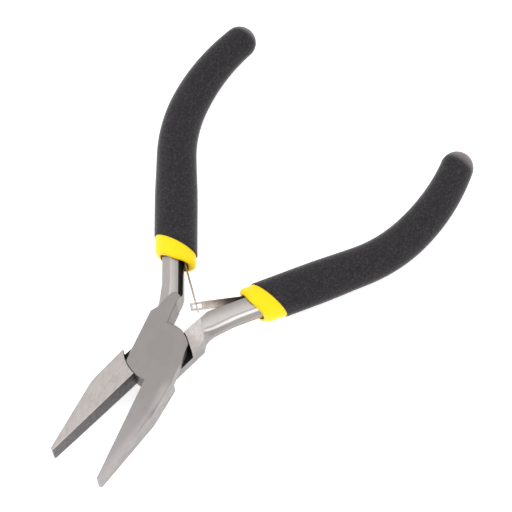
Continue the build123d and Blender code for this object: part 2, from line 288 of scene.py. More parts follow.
class Nodes:
    """A material's node tree, with short calls for the nodes that the materials use."""

    def __init__(self, name):
        self.material = bpy.data.materials.new(name)
        self.material.use_nodes = True
        self.tree = self.material.node_tree
        self.shader = self.tree.nodes["Principled BSDF"]
        self.coords = self.tree.nodes.new("ShaderNodeTexCoord")

    def place(self):
        """Place on the object in millimetres."""
        return self.scaled(self.coords.outputs["Object"], (PER_METRE, PER_METRE, PER_METRE))

    def link(self, value, socket):
        """Joins a socket to another node's output, or gives it a fixed value."""
        if isinstance(value, bpy.types.NodeSocket):
            self.tree.links.new(value, socket)
        else:
            socket.default_value = value

    def set(self, **values):
        """Sets the shader's sockets, with _ for each space in a name."""
        for name, value in values.items():
            self.link(value, self.shader.inputs[name.replace("_", " ")])

    def math(self, operation, a, b=0.0):
        node = self.tree.nodes.new("ShaderNodeMath")
        node.operation = operation
        self.link(a, node.inputs[0])
        self.link(b, node.inputs[1])
        return node.outputs[0]

    def add(self, a, b):
        return self.math("ADD", a, b)

    def sub(self, a, b):
        return self.math("SUBTRACT", a, b)

    def mul(self, *values):
        """Product of two or more values."""
        out = values[0]
        for value in values[1:]:
            out = self.math("MULTIPLY", out, value)
        return out

    def step(self, value, low, high):
        """0 below low, 1 above high, smooth between."""
        node = self.tree.nodes.new("ShaderNodeMapRange")
        node.interpolation_type = "SMOOTHSTEP"
        self.link(value, node.inputs["Value"])
        self.link(low, node.inputs["From Min"])
        self.link(high, node.inputs["From Max"])
        return node.outputs["Result"]

    def band(self, value, middle, half_width):
        """1 on a line, falling to 0 at half_width from it."""
        off = self.math("ABSOLUTE", self.sub(value, middle))
        return self.sub(1.0, self.step(off, 0.0, half_width))

    def mix(self, factor, a, b):
        """Colour a at factor 0 and b at factor 1."""
        node = self.tree.nodes.new("ShaderNodeMix")
        node.data_type = "RGBA"
        self.link(factor, node.inputs["Factor"])
        self.link(a, node.inputs[COLOUR_A])
        self.link(b, node.inputs[COLOUR_B])
        return node.outputs[COLOUR_RESULT]

    def blend(self, factor, a, b):
        """Number a at factor 0 and b at factor 1."""
        node = self.tree.nodes.new("ShaderNodeMix")
        self.link(factor, node.inputs["Factor"])
        self.link(a, node.inputs[FLOAT_A])
        self.link(b, node.inputs[FLOAT_B])
        return node.outputs[FLOAT_RESULT]

    def shade(self, colour, factor):
        """The colour times a number."""
        node = self.tree.nodes.new("ShaderNodeMix")
        node.data_type = "RGBA"
        node.blend_type = "MULTIPLY"
        node.inputs["Factor"].default_value = 1.0
        self.link(colour, node.inputs[COLOUR_A])
        self.link(factor, node.inputs[COLOUR_B])
        return node.outputs[COLOUR_RESULT]

    def split(self, vector):
        node = self.tree.nodes.new("ShaderNodeSeparateXYZ")
        self.link(vector, node.inputs[0])
        return node.outputs

    def join(self, x, y, z):
        node = self.tree.nodes.new("ShaderNodeCombineXYZ")
        for value, socket in zip((x, y, z), node.inputs):
            self.link(value, socket)
        return node.outputs[0]

    def scaled(self, vector, by):
        node = self.tree.nodes.new("ShaderNodeVectorMath")
        node.operation = "MULTIPLY"
        self.link(vector, node.inputs[0])
        node.inputs[1].default_value = by
        return node.outputs[0]

    def noise(self, vector, scale, detail, roughness):
        """Smooth noise with scale waves to a unit of the vector, and finer waves on top of them."""
        node = self.tree.nodes.new("ShaderNodeTexNoise")
        self.link(vector, node.inputs["Vector"])
        node.inputs["Scale"].default_value = scale
        node.inputs["Detail"].default_value = detail
        node.inputs["Roughness"].default_value = roughness
        return node.outputs["Fac"]

    def cells(self, vector, scale):
        """Distance to the nearest of scattered points, with scale of them to a unit."""
        node = self.tree.nodes.new("ShaderNodeTexVoronoi")
        self.link(vector, node.inputs["Vector"])
        node.inputs["Scale"].default_value = scale
        return node.outputs["Distance"]

    def bump(self, height, strength, distance):
        """Normal of a surface roughened by a height, with its depth in metres."""
        node = self.tree.nodes.new("ShaderNodeBump")
        self.link(height, node.inputs["Height"])
        node.inputs["Strength"].default_value = strength
        node.inputs["Distance"].default_value = distance
        return node.outputs["Normal"]

    def half_place(self, side):
        """Place in mm and facing direction in a half's own frame, as x, y and z."""
        x, y, z = self.split(self.place())
        nx, ny, nz = self.split(self.coords.outputs["Normal"])
        c, s = cos(HALF_OPENING), side * sin(HALF_OPENING)
        flip = float(side)
        local_x = self.add(self.mul(x, c), self.mul(y, s))
        local_y = self.mul(self.sub(self.mul(y, c), self.mul(x, s)), flip)
        local_z = self.mul(self.sub(z, MID_HEIGHT), flip)
        facing_x = self.add(self.mul(nx, c), self.mul(ny, s))
        facing_y = self.mul(self.sub(self.mul(ny, c), self.mul(nx, s)), flip)
        return (local_x, local_y, local_z), (facing_x, facing_y, self.mul(nz, flip))


# Tones of the forged halves, some of them painted highlights and painted shade
STEEL = {
    "plate": linear(146, 141, 139),
    "jaw_tip": linear(158, 153, 153),
    "jaw_back_highlight": linear(172, 167, 165),
    # painted highlight on the jaw's rounded back
    "polished_low": linear(166, 159, 156),
    "polished": linear(184, 177, 173),
    "root_low": linear(188, 182, 179),
    "root": linear(211, 205, 202),
    # painted shade on the root's wall towards the other handle
    "root_wall_shade": linear(122, 118, 116),
    # painted highlight, used on the jaw's inner edge and on the shank's ridge
    "bright": linear(222, 218, 216),
    "edge_low": linear(136, 131, 130),
    "edge": linear(153, 148, 147),
    "grip_low": linear(84, 81, 83),
    "grip": linear(110, 107, 109),
    # painted shade and reflection across the shank's top facet
    "facet_low": linear(148, 144, 141),
    "facet": linear(196, 191, 188),
    # dark oxide, also used as painted shade in the recess
    "oxide_and_shade": linear(52, 50, 49),
}
# Where the painted highlight on the shank's ridge and the painted dark line beside it lie
RIDGE_AT = SHANK_OFFSET + 0.54 * SHANK_HALF_WIDTH + 0.3
RIDGE_SHIFT = 0.55
RIDGE_HIGHLIGHT_HALF_WIDTH = 0.34
DARK_LINE_AT = -0.42
DARK_LINE_HALF_WIDTH = 0.28
JAW_SHOULDER_AHEAD = 16.4
JAW_SHOULDER_BACK = 5.4
JAW_TAPER = 0.245
JAW_BACK_BAND = 1.9
POLISH_CENTRE = (-4.0, 30.0)

# Where a tone begins and where it is full, as places in a half's own frame
JAW_FROM = (7.0, 9.0)
JAW_BACK_FROM = (5.0, 10.0)
JAW_LIGHTER_FROM = (8.0, 34.0)
GRIPPING_EDGE = (-0.5, -0.3)
ROOT_FROM = (6.0, 9.0)
ROOT_WALL_FROM = (4.0, 4.6)
ROOT_WALL_TO = (12.0, 13.0)
SHANK_FROM = (9.0, 9.6)
SHANK_FLAT_HEIGHT = (3.2, 3.3)
SHANK_LIGHTER_ACROSS = (-1.6, 1.7)
RIDGE_FROM = (10.4, 11.4)
RIDGE_STRAIGHT_FROM = (10.0, 20.0)
RECESS_FLOOR = (-0.4, -0.2)
RECESS_WALL_RADIUS = (9.2, 9.5)
FRONT_WALL_RADIUS = (8.9, 9.2)
FRONT_WALL_FROM = (4.0, 5.0)
# The same for the way a face looks: 1 is square to the direction that is asked for
FLAT = (0.93, 0.99)
NEARLY_SQUARE = (0.8, 0.95)


def forged_steel(name, side):
    """Ground and polished tool steel, with a tone for each face of one half, some of them painted
    highlights and painted shade.
    """
    n = Nodes(name)
    (x, y, z), (fx, fy, fz) = n.half_place(side)
    place = n.join(x, y, z)
    ahead = n.mul(x, -1.0)
    height = n.math("ABSOLUTE", z)
    plate_side = n.step(fz, *FLAT)
    recess_side = n.step(n.mul(fz, -1.0), *FLAT)
    is_jaw = n.step(ahead, *JAW_FROM)
    is_shank = n.mul(n.step(x, *SHANK_FROM), n.sub(1.0, n.step(height, *SHANK_FLAT_HEIGHT)))
    outward = n.sub(n.mul(n.sub(y, HANDLE_POINT[1]), cos(HEADING)),
                    n.mul(n.sub(x, HANDLE_POINT[0]), sin(HEADING)))
    faces_out = n.sub(n.mul(fy, cos(HEADING)), n.mul(fx, sin(HEADING)))
    along = n.add(n.mul(x, cos(HEADING)), n.mul(y, sin(HEADING)))

    fine = n.noise(n.scaled(place, (2.2, 7.0, 2.0)), 1.6, 4.0, 0.7)
    cloud = n.noise(place, 0.35, 3.0, 0.55)
    blotch = n.noise(place, 0.9, 4.0, 0.7)
    grain = n.noise(place, 5.5, 2.0, 0.6)
    drawn = n.noise(n.join(n.mul(along, 0.25), n.mul(outward, 5.0), n.mul(z, 5.0)), 1.0, 3.0, 0.6)

    # plate side: one even satin surface, lighter towards the jaw's tip, with a painted highlight
    # along the jaw's rounded back
    plate = n.mix(n.step(ahead, *JAW_LIGHTER_FROM), STEEL["plate"], STEEL["jaw_tip"])
    behind = n.math("MAXIMUM", n.sub(ahead, JAW_SHOULDER_AHEAD), 0.0)
    from_back = n.sub(n.add(y, JAW_SHOULDER_BACK), n.mul(behind, JAW_TAPER))
    # painted highlight in a band along the jaw's back
    back_highlight = n.sub(1.0, n.step(from_back, 0.0, JAW_BACK_BAND))
    back_highlight = n.mul(back_highlight, n.step(ahead, *JAW_BACK_FROM))
    plate = n.mix(n.mul(back_highlight, 0.8), plate, STEEL["jaw_back_highlight"])
    # recess side: lighter, with curved polishing lines, a mottled root and a painted highlight
    # along the inner edge
    rx, ry = n.sub(x, POLISH_CENTRE[0]), n.sub(y, POLISH_CENTRE[1])
    radius = n.math("SQRT", n.add(n.mul(rx, rx), n.mul(ry, ry)))
    turn = n.math("ARCTAN2", ry, rx)
    lines = n.noise(n.join(n.mul(radius, 1.5), n.mul(turn, 9.0), 0.0), 1.0, 3.0, 0.6)
    polished = n.mix(n.step(n.add(n.mul(lines, 0.6), n.mul(blotch, 0.4)), 0.3, 0.7),
                     STEEL["polished_low"], STEEL["polished"])
    root = n.mix(n.step(n.add(n.mul(blotch, 0.5), n.mul(fine, 0.5)), 0.38, 0.62),
                 STEEL["root_low"], STEEL["root"])
    polished = n.mix(n.mul(n.step(x, *ROOT_FROM), 0.85), polished, root)
    # painted highlight along the jaw's inner edge
    polished = n.mix(n.mul(n.band(y, -0.05, 0.25), is_jaw, 0.35), polished, STEEL["bright"])
    # all other faces of the jaw and the plate
    edges = n.mix(n.step(cloud, 0.2, 0.8), STEEL["edge_low"], STEEL["edge"])
    colour = n.mix(plate_side, edges, plate)
    colour = n.mix(recess_side, colour, polished)
    # gripping face: dark and mottled
    inner = n.mul(n.step(fy, *NEARLY_SQUARE), n.step(y, *GRIPPING_EDGE), is_jaw)
    mottled = n.mix(n.step(blotch, 0.35, 0.65), STEEL["grip_low"], STEEL["grip"])
    colour = n.mix(inner, colour, mottled)

    # shank: painted light and shade, a tone for each ground facet: a painted reflection lighter
    # across the top facet, painted shade on the outer facet, a painted highlight on the ridge and a
    # painted dark line beside it
    top_facet_reflection = n.step(outward, *SHANK_LIGHTER_ACROSS)
    painted_top_tone = n.mix(top_facet_reflection, STEEL["facet_low"], STEEL["facet"])
    on_recess_side = n.step(n.mul(z, -1.0), 0.2, 0.6)
    shifted = n.mul(n.sub(1.0, n.step(x, *RIDGE_STRAIGHT_FROM)), RIDGE_SHIFT)
    ridge_at = n.add(RIDGE_AT, shifted)
    past_ridge = n.sub(outward, n.mul(ridge_at, on_recess_side))
    shaded_side_facet = n.mul(n.step(faces_out, 0.35, 0.55), n.step(past_ridge, 0.1, 0.3))
    shaded_side_facet = n.math("MAXIMUM", shaded_side_facet, n.step(faces_out, 0.9, 0.95))
    # the outer facet takes the darker plate tone as painted shade
    shank = n.mix(shaded_side_facet, painted_top_tone, STEEL["plate"])
    is_near_ridge = n.mul(on_recess_side, n.step(x, *RIDGE_FROM))
    ridge_highlight = n.mul(n.band(past_ridge, 0.0, RIDGE_HIGHLIGHT_HALF_WIDTH), is_near_ridge)
    ridge_highlight = n.mul(ridge_highlight, n.step(n.mul(z, -1.0), 1.2, 1.6))
    shank = n.mix(ridge_highlight, shank, STEEL["bright"])
    # painted dark line beside the ridge highlight
    painted_dark_line = n.mul(n.band(past_ridge, DARK_LINE_AT, DARK_LINE_HALF_WIDTH), is_near_ridge)
    painted_dark_line = n.mul(painted_dark_line, n.step(n.mul(z, -1.0), 2.0, 2.4))
    shank = n.mix(n.mul(painted_dark_line, 0.6), shank, STEEL["edge_low"])
    # inner edge of the plate side, left dark from the forge
    fluted = n.mul(n.step(n.mul(faces_out, -1.0), 0.6, 0.75), n.step(fz, 0.35, 0.5))
    shank = n.mix(fluted, shank, STEEL["oxide_and_shade"])
    shank = n.shade(shank, n.add(0.93, n.mul(drawn, 0.14)))
    colour = n.mix(is_shank, colour, shank)

    # wall of the root, towards the other handle: painted shade, darker where it faces the gap
    # between the handles
    flat = n.math("MAXIMUM", plate_side, recess_side)
    root_wall_shade = n.mul(n.step(n.mul(faces_out, -1.0), 0.3, 0.5), n.step(x, *ROOT_WALL_FROM),
                      n.sub(1.0, n.step(x, *ROOT_WALL_TO)), n.sub(1.0, flat), n.sub(1.0, fluted))
    colour = n.mix(n.mul(root_wall_shade, 0.85), colour, STEEL["root_wall_shade"])

    # recess floor and the walls round it: painted dark, partly oxide and partly painted shade under
    # the other half
    spread = n.math("SQRT", n.add(n.mul(x, x), n.mul(y, y)))
    to_pivot = n.math("DIVIDE", n.add(n.mul(fx, x), n.mul(fy, y)), n.mul(spread, -1.0))
    wall = n.mul(n.step(to_pivot, *NEARLY_SQUARE), n.step(z, -3.35, -3.2),
                 n.sub(1.0, n.step(z, 0.0, 0.02)))
    floor = n.mul(recess_side, n.step(z, *RECESS_FLOOR))
    wall = n.mul(wall, n.sub(1.0, n.step(spread, *RECESS_WALL_RADIUS)))
    recess = n.math("MAXIMUM", wall, floor)
    colour = n.mix(recess, colour, STEEL["oxide_and_shade"])

    # rounded front wall of the plate, seen between the jaws
    front_wall = n.mul(n.step(n.mul(to_pivot, -1.0), *NEARLY_SQUARE),
                       n.step(ahead, *FRONT_WALL_FROM),
                       n.sub(1.0, n.step(spread, *FRONT_WALL_RADIUS)))
    colour = n.mix(n.mul(front_wall, n.sub(1.0, plate_side)), colour, mottled)

    speck = n.step(n.noise(place, 1.7, 2.0, 0.5), 0.74, 0.78)
    colour = n.shade(colour, n.sub(1.0, n.mul(speck, 0.25)))
    tone = n.add(0.87, n.mul(fine, 0.26))
    tone = n.mul(tone, n.add(0.93, n.mul(cloud, 0.14)))
    colour = n.shade(colour, tone)

    rough = n.add(0.3, n.mul(grain, 0.12))
    rough = n.blend(n.math("MAXIMUM", inner, fluted), rough, 0.5)
    rough = n.blend(recess, rough, 0.75)
    n.set(Base_Color=colour, Metallic=1.0, Roughness=rough)
    n.set(Normal=n.bump(n.add(fine, n.mul(grain, 0.4)), 0.25, 0.00004))
    return n.material


def plain_steel(name, colour, roughness, contrast):
    """Steel of one tone, with a fine grain."""
    n = Nodes(name)
    place = n.place()
    grain = n.noise(place, 4.0, 3.0, 0.6)
    n.set(
        Base_Color=n.shade(colour, n.add(1 - contrast / 2, n.mul(grain, contrast))),
        Metallic=1.0,
        Roughness=n.add(roughness - 0.06, n.mul(grain, 0.12)),
        Normal=n.bump(grain, contrast, 0.00003),
    )
    return n.material


STRIP = {
    "low": linear(196, 180, 170),
    "high": linear(226, 214, 206),
    "rim": linear(132, 110, 94),
    "worn": linear(240, 234, 228),
    # painted shade near the collar
    "dark": linear(62, 52, 44),
}
STRIP_SHADE_FROM = (16.8, 20.5)
STRIP_WORN_TO = (14.6, 17.2)
STRIP_RIM_HEIGHT = (2.08, 2.16)


def spring_strip_steel():
    """Tempered spring strip: brownish, worn bright at its end, with painted shade near the collar.
    """
    n = Nodes("spring_strip_steel")
    place = n.place()
    cloud = n.noise(place, 0.9, 3.0, 0.6)
    grain = n.noise(place, 6.0, 2.0, 0.6)
    x, y, z = n.split(place)
    # painted shade near the collar, deeper on the lower strip than on the upper one
    is_upper = n.step(y, -0.5, 0.5)
    shade_near_collar = n.mul(n.step(x, *STRIP_SHADE_FROM), n.sub(1.0, n.mul(is_upper, 0.6)))
    rim = n.step(n.math("ABSOLUTE", n.sub(z, MID_HEIGHT)), *STRIP_RIM_HEIGHT)
    colour = n.mix(n.step(cloud, 0.3, 0.7), STRIP["low"], STRIP["high"])
    colour = n.mix(n.mul(rim, 0.7), colour, STRIP["rim"])
    worn_end = n.sub(1.0, n.step(x, *STRIP_WORN_TO))
    colour = n.mix(n.mul(worn_end, 0.7, n.step(cloud, 0.3, 0.5)), colour, STRIP["worn"])
    colour = n.mix(n.mul(shade_near_collar, 0.93), colour, STRIP["dark"])
    n.set(
        Base_Color=n.shade(colour, n.add(0.9, n.mul(grain, 0.2))),
        Metallic=1.0,
        Roughness=n.add(0.4, n.mul(grain, 0.14)),
        Normal=n.bump(grain, 0.15, 0.00002),
    )
    return n.material


VINYL = {"low": linear(247, 208, 4), "high": linear(252, 216, 8)}


def collar_vinyl():
    """Bright dipped vinyl, smooth and slightly translucent."""
    n = Nodes("collar_vinyl")
    place = n.place()
    cloud = n.noise(place, 0.5, 3.0, 0.55)
    grain = n.noise(place, 7.0, 2.0, 0.6)
    colour = n.mix(cloud, VINYL["low"], VINYL["high"])
    n.set(
        Base_Color=n.shade(colour, n.add(0.96, n.mul(grain, 0.06))),
        Roughness=n.add(0.36, n.mul(grain, 0.12)),
        Specular_IOR_Level=0.22,
        Subsurface_Weight=0.12,
        Subsurface_Radius=(1.0, 0.75, 0.1),
        Subsurface_Scale=0.0006,
        Normal=n.bump(n.add(n.mul(cloud, 0.6), n.mul(grain, 0.2)), 0.3, 0.00012),
    )
    return n.material


FOAM = {
    "low": linear(27, 24, 26),
    "high": linear(35, 32, 34),
    "patch": linear(44, 42, 45),
    "speck": linear(80, 76, 81),
    "pore": linear(22, 21, 22),
    "worn": linear(128, 120, 121),
}
WEAR_FROM_X = 82.0
WEAR_LENGTH = 2.4
LOWER_WEAR_EXTRA = 1.3


def grip_foam():
    """Foamed vinyl: a matt charcoal skin with fine pores and grains, worn at the far end."""
    n = Nodes("grip_foam")
    place = n.place()
    pores = n.cells(place, 2.6)
    fine = n.noise(place, 4.2, 3.0, 0.65)
    cloud = n.noise(place, 0.28, 3.0, 0.5)
    speck = n.step(n.noise(place, 2.1, 2.0, 0.7), 0.5, 0.68)
    patch = n.step(n.noise(place, 1.2, 3.0, 0.6), 0.35, 0.65)
    colour = n.mix(cloud, FOAM["low"], FOAM["high"])
    colour = n.mix(n.mul(patch, 0.6), colour, FOAM["patch"])
    colour = n.mix(n.mul(speck, 0.4), colour, FOAM["speck"])
    colour = n.mix(n.mul(n.sub(1.0, n.step(pores, 0.05, 0.3)), 0.5), colour, FOAM["pore"])
    x, y = n.split(place)[:2]
    # the lower handle's end is worn further than the upper one's
    is_lower = n.step(n.mul(y, -1.0), 0.0, 1.0)
    past_wear = n.sub(x, n.sub(WEAR_FROM_X, n.mul(is_lower, LOWER_WEAR_EXTRA)))
    worn_end = n.mul(n.step(past_wear, 0.0, WEAR_LENGTH), n.add(0.45, n.mul(fine, 0.6)))
    colour = n.mix(worn_end, colour, FOAM["worn"])
    height = n.add(n.mul(fine, 0.7), n.mul(n.step(pores, 0.0, 0.45), 0.5))
    n.set(
        Base_Color=colour,
        Roughness=n.add(0.62, n.mul(fine, 0.2)),
        Specular_IOR_Level=0.2,
        Sheen_Weight=0.5,
        Sheen_Roughness=0.3,
        Normal=n.bump(height, 0.55, 0.00018),
    )
    return n.material


FORGED = {name: forged_steel(name + "_forged_steel", side) for name, side in SIDES}
RIVET = plain_steel("rivet_steel", linear(186, 182, 178), 0.32, 0.3)
PIVOT = plain_steel("pivot_steel", linear(144, 139, 137), 0.36, 0.08)
SPRING = spring_strip_steel()
COLLAR = collar_vinyl()
GRIP = grip_foam()


def paint(node, material):
    """Gives a CAD node a material."""
    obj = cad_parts[node]
    obj.data.materials.clear()
    obj.data.materials.append(material)


for name, side in SIDES:
    paint(name + "_half", FORGED[name])
    paint(name + "_spring_rivet", RIVET)
paint("pivot_rivet", PIVOT)

# ---------------------------------------------------------------- grips and collars

COUNT = 96
CAP_STEPS = 15
SKIN_SPACING = 0.9
HIDDEN_SPACING = 2.5
HIDDEN_STEPS = 8
TANG_CORNERS = [
    (-1.0, -0.74), (-0.83, -1.0), (0.54, -1.0), (1.0, -0.39),
    (1.0, 0.2), (0.17, 1.0), (-0.6, 1.0), (-1.0, 0.5),
]


def cap_rings(trim):
    """Rings over the handle's rounded end, from its rim to near its pole."""
    (x, y), heading = station(CURVE_LENGTH)
    radius = CAP_RADIUS - trim
    rings = []
    for k in range(1, CAP_STEPS):
        a = (pi / 2) * k / CAP_STEPS
        r, ahead = radius * cos(a), radius * sin(a)
        cx, cy = x + ahead * cos(heading), y + ahead * sin(heading)
        circle = oval(r, r, COUNT)
        rings.append([(cx - o * sin(heading), cy + o * cos(heading), u) for o, u in circle])
    return rings


def body_rings(trim, s_from, s_to, spacing):
    """Rings square to the handle between two lengths along it, trimmed in from the skin."""
    count = max(2, ceil((s_to - s_from) / spacing))
    rings = []
    for k in range(count + 1):
        s = s_from + (s_to - s_from) * k / count
        a, b = grip_sizes(s)
        rings.append(across(s, oval(a - trim, b - trim, COUNT)))
    return rings


def run_length(x):
    """Length along the handle at a place x on its straight run."""
    return (x - DIP_START_X) / cos(HEADING)


def leaned(x_from, x_to, trim, steps):
    """Rings that lean as the dip edges do at x_from, and stand square to the handle at x_to."""
    rings = []
    a, b = GRIP_SIZES[0]
    for k in range(steps + 1):
        t = k / steps
        x_at = x_from + (x_to - x_from) * t
        rings.append(across_x(x_at, oval(a - trim, b - trim, COUNT), DIP_LEAN * (1 - smooth(t))))
    return rings


STRAIGHT_END_X = 37.0
EDGE_ROUND = 0.22
INNER_START = 0.2
SKIN_STEPS = 14
ROUND_STEPS = 4


def make_grip(name, side):
    """Foamed outer layer: the skin, the rounded front edge and the hollow inside."""
    a, b = GRIP_SIZES[0]
    edge_x = DIP_EDGE_X[name]
    bend_from = run_length(STRAIGHT_END_X)
    rings = list(reversed(cap_rings(0.0)))
    rings += list(reversed(body_rings(0.0, bend_from, CURVE_LENGTH, SKIN_SPACING)))
    rings += list(reversed(leaned(edge_x + EDGE_ROUND, STRAIGHT_END_X, 0.0, SKIN_STEPS)))[1:]
    for k in range(1, ROUND_STEPS + 1):
        angle = (pi / 2) * k / ROUND_STEPS
        trim = EDGE_ROUND * (1 - cos(angle))
        x_at = edge_x + EDGE_ROUND * (1 - sin(angle))
        rings.append(across_x(x_at, oval(a - trim, b - trim, COUNT)))
    rings.append(across_x(edge_x, oval(a - GRIP_WALL, b - GRIP_WALL, COUNT)))
    rings += leaned(edge_x + INNER_START, STRAIGHT_END_X, GRIP_WALL, HIDDEN_STEPS)
    rings += body_rings(GRIP_WALL, bend_from, CURVE_LENGTH, HIDDEN_SPACING)[1:]
    rings += cap_rings(GRIP_WALL)
    verts, faces = loft(rings)
    return make_mesh(name + "_grip_skin", verts, faces, half_matrix(side), GRIP)


OPENING_END_X = 25.2
OPENING_OUTER_GAP = 0.4
OPENING_INNER_GAP = 1.1
OPENING_ROUND = 2.2
COLLAR_STEP = 0.3
RIM_ROUND = 1.1
LIP_ROUND = 0.3
LIP_FLARE = 0.8
MOUTH_TAPER = 0.05
RIM_INNER_LEAN = 0.6
COLLAR_GAP = 0.02
COLLAR_TUCK = 0.04
UNDER_START = 0.05
COLLAR_STEPS = 8
MOUTH_STEPS = 5
CHANNEL_GAP = 0.1
CHANNEL_SQUARE_AFTER = 2.5
CHANNEL_STEPS = 24


def at_rim(x_at, profile):
    """Ring that leans as the collar's rim does."""
    return across_x(x_at, profile, inner_lean=RIM_INNER_LEAN)


def make_collar(name, side):
    """Inner vinyl layer: its collar, rolled rim and mouth, and the channel round the steel."""
    a, b = GRIP_SIZES[0]
    edge_x, rim_x = DIP_EDGE_X[name], RIM_X[name]
    under = GRIP_WALL + COLLAR_GAP
    bend_from = run_length(STRAIGHT_END_X)
    rings = list(reversed(cap_rings(under)))
    rings += list(reversed(body_rings(under, bend_from, CURVE_LENGTH, HIDDEN_SPACING)))
    rings += list(reversed(leaned(edge_x + UNDER_START, STRAIGHT_END_X, under, HIDDEN_STEPS)))[1:]
    back_x = edge_x + COLLAR_TUCK
    outside = oval(a - COLLAR_STEP, b - COLLAR_STEP, COUNT)
    for k in range(COLLAR_STEPS + 1):
        x_at = back_x - (back_x - rim_x - RIM_ROUND) * k / COLLAR_STEPS
        inner_lean = DIP_LEAN + (RIM_INNER_LEAN - DIP_LEAN) * k / COLLAR_STEPS
        rings.append(across_x(x_at, outside, inner_lean=inner_lean))
    for k in range(1, COLLAR_STEPS + 1):
        angle = (pi / 2) * k / COLLAR_STEPS
        inward = COLLAR_STEP + RIM_ROUND * (1 - cos(angle))
        x_at = rim_x + RIM_ROUND * (1 - sin(angle))
        rings.append(at_rim(x_at, oval(a - inward, b - inward, COUNT)))
    half_width = SHANK_HALF_WIDTH + (OPENING_OUTER_GAP + OPENING_INNER_GAP) / 2
    half_height = SHANK_HALF_HEIGHT + OPENING_OUTER_GAP
    middle = SHANK_OFFSET + (OPENING_OUTER_GAP - OPENING_INNER_GAP) / 2

    def mouth(wider):
        corner = OPENING_ROUND + wider
        return rounded_box(half_width + wider, half_height + wider, corner, middle, COUNT)

    for k in range(ROUND_STEPS + 1):
        angle = (pi / 2) * k / ROUND_STEPS
        x_at = rim_x + LIP_ROUND * (1 - cos(angle))
        rings.append(at_rim(x_at, mouth(LIP_ROUND * (1 - sin(angle)) * LIP_FLARE)))
    for k in range(1, MOUTH_STEPS + 1):
        x_at = rim_x + LIP_ROUND + (OPENING_END_X - rim_x - LIP_ROUND) * k / MOUTH_STEPS
        rings.append(at_rim(x_at, mouth(-MOUTH_TAPER * k)))

    def channel(scale):
        w, h = SHANK_HALF_WIDTH, SHANK_HALF_HEIGHT
        corners = [(cx * w * scale, cy * h * scale) for cx, cy in TANG_CORNERS]
        return polygon_ring(corners, SHANK_OFFSET, COUNT)

    rings.append(across_x(OPENING_END_X + CHANNEL_GAP, channel(1.0)))
    start = run_length(OPENING_END_X + CHANNEL_SQUARE_AFTER)
    end = CURVE_LENGTH - TAIL_LENGTH + TAIL_RADIUS * TANG_TURN
    for k in range(CHANNEL_STEPS + 1):
        s = start + (end - start) * k / CHANNEL_STEPS
        tapered = max(0.0, min(1.0, (s - TAPER_AT) / (RUN_LENGTH - TAPER_AT)))
        rings.append(across(s, channel(1.0 - (1.0 - TANG_SCALE) * tapered)))
    verts, faces = loft(rings)
    return make_mesh(name + "_collar", verts, faces, half_matrix(side), COLLAR)


for name, side in SIDES:
    grip = make_grip(name, side)
    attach(grip, name)
    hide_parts(name + "_grip")
    collar = make_collar(name, side)
    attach(collar, name)
    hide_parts(name + "_sleeve")

# ---------------------------------------------------------------- springs

SPRING_PIVOT_X = 23.05
SPRING_PIVOT_INSET = 0.35
SPRING_ANGLE = radians(38.6)
SPRING_THICKNESS = 0.35
SPRING_WIDTH = 4.4
TONGUE_START = 10.7
TONGUE_END = 13.2
TONGUE_WIDTH = 2.6
SLOT_START = 10.6
SLOT_END = 12.8
SLOT_WIDTH = 3.0
SLOTTED_LEAF_END = 13.4
FOOT_END_X = 37.0
BEND_BEHIND = 1.6
BEND_AHEAD = 1.5
FOOT_STEPS = 8
BEND_STEPS = 12
LEAF_STEPS = 8
PLAIN_LEAF_END = 10.5
TONGUE_ROWS = (TONGUE_START, 11.5, 12.3, 12.75, TONGUE_END)
SLOT_ROWS = (SLOT_START, 11.3, 12.0, SLOT_END, 13.1, SLOTTED_LEAF_END)
WORN_EDGE = 0.05
WORN_SEGMENTS = 2
SHARP_ANGLE = 50.0


def strip_path():
    """Points on the middle line of a spring strip round its bend, and the leaf's heading."""
    inner = SHANK_OFFSET - SHANK_HALF_WIDTH
    foot_end = Vector((*run_point(FOOT_END_X, inner - SPRING_THICKNESS / 2), 0))
    root = Vector((*run_point(SPRING_PIVOT_X, inner - SPRING_PIVOT_INSET), 0))
    back_x = SPRING_PIVOT_X + BEND_BEHIND
    bend_back = Vector((*run_point(back_x, inner - SPRING_THICKNESS / 2), 0))
    heading = Vector((-cos(SPRING_ANGLE), -sin(SPRING_ANGLE), 0))
    return foot_end, bend_back, root, root + heading * BEND_AHEAD, heading


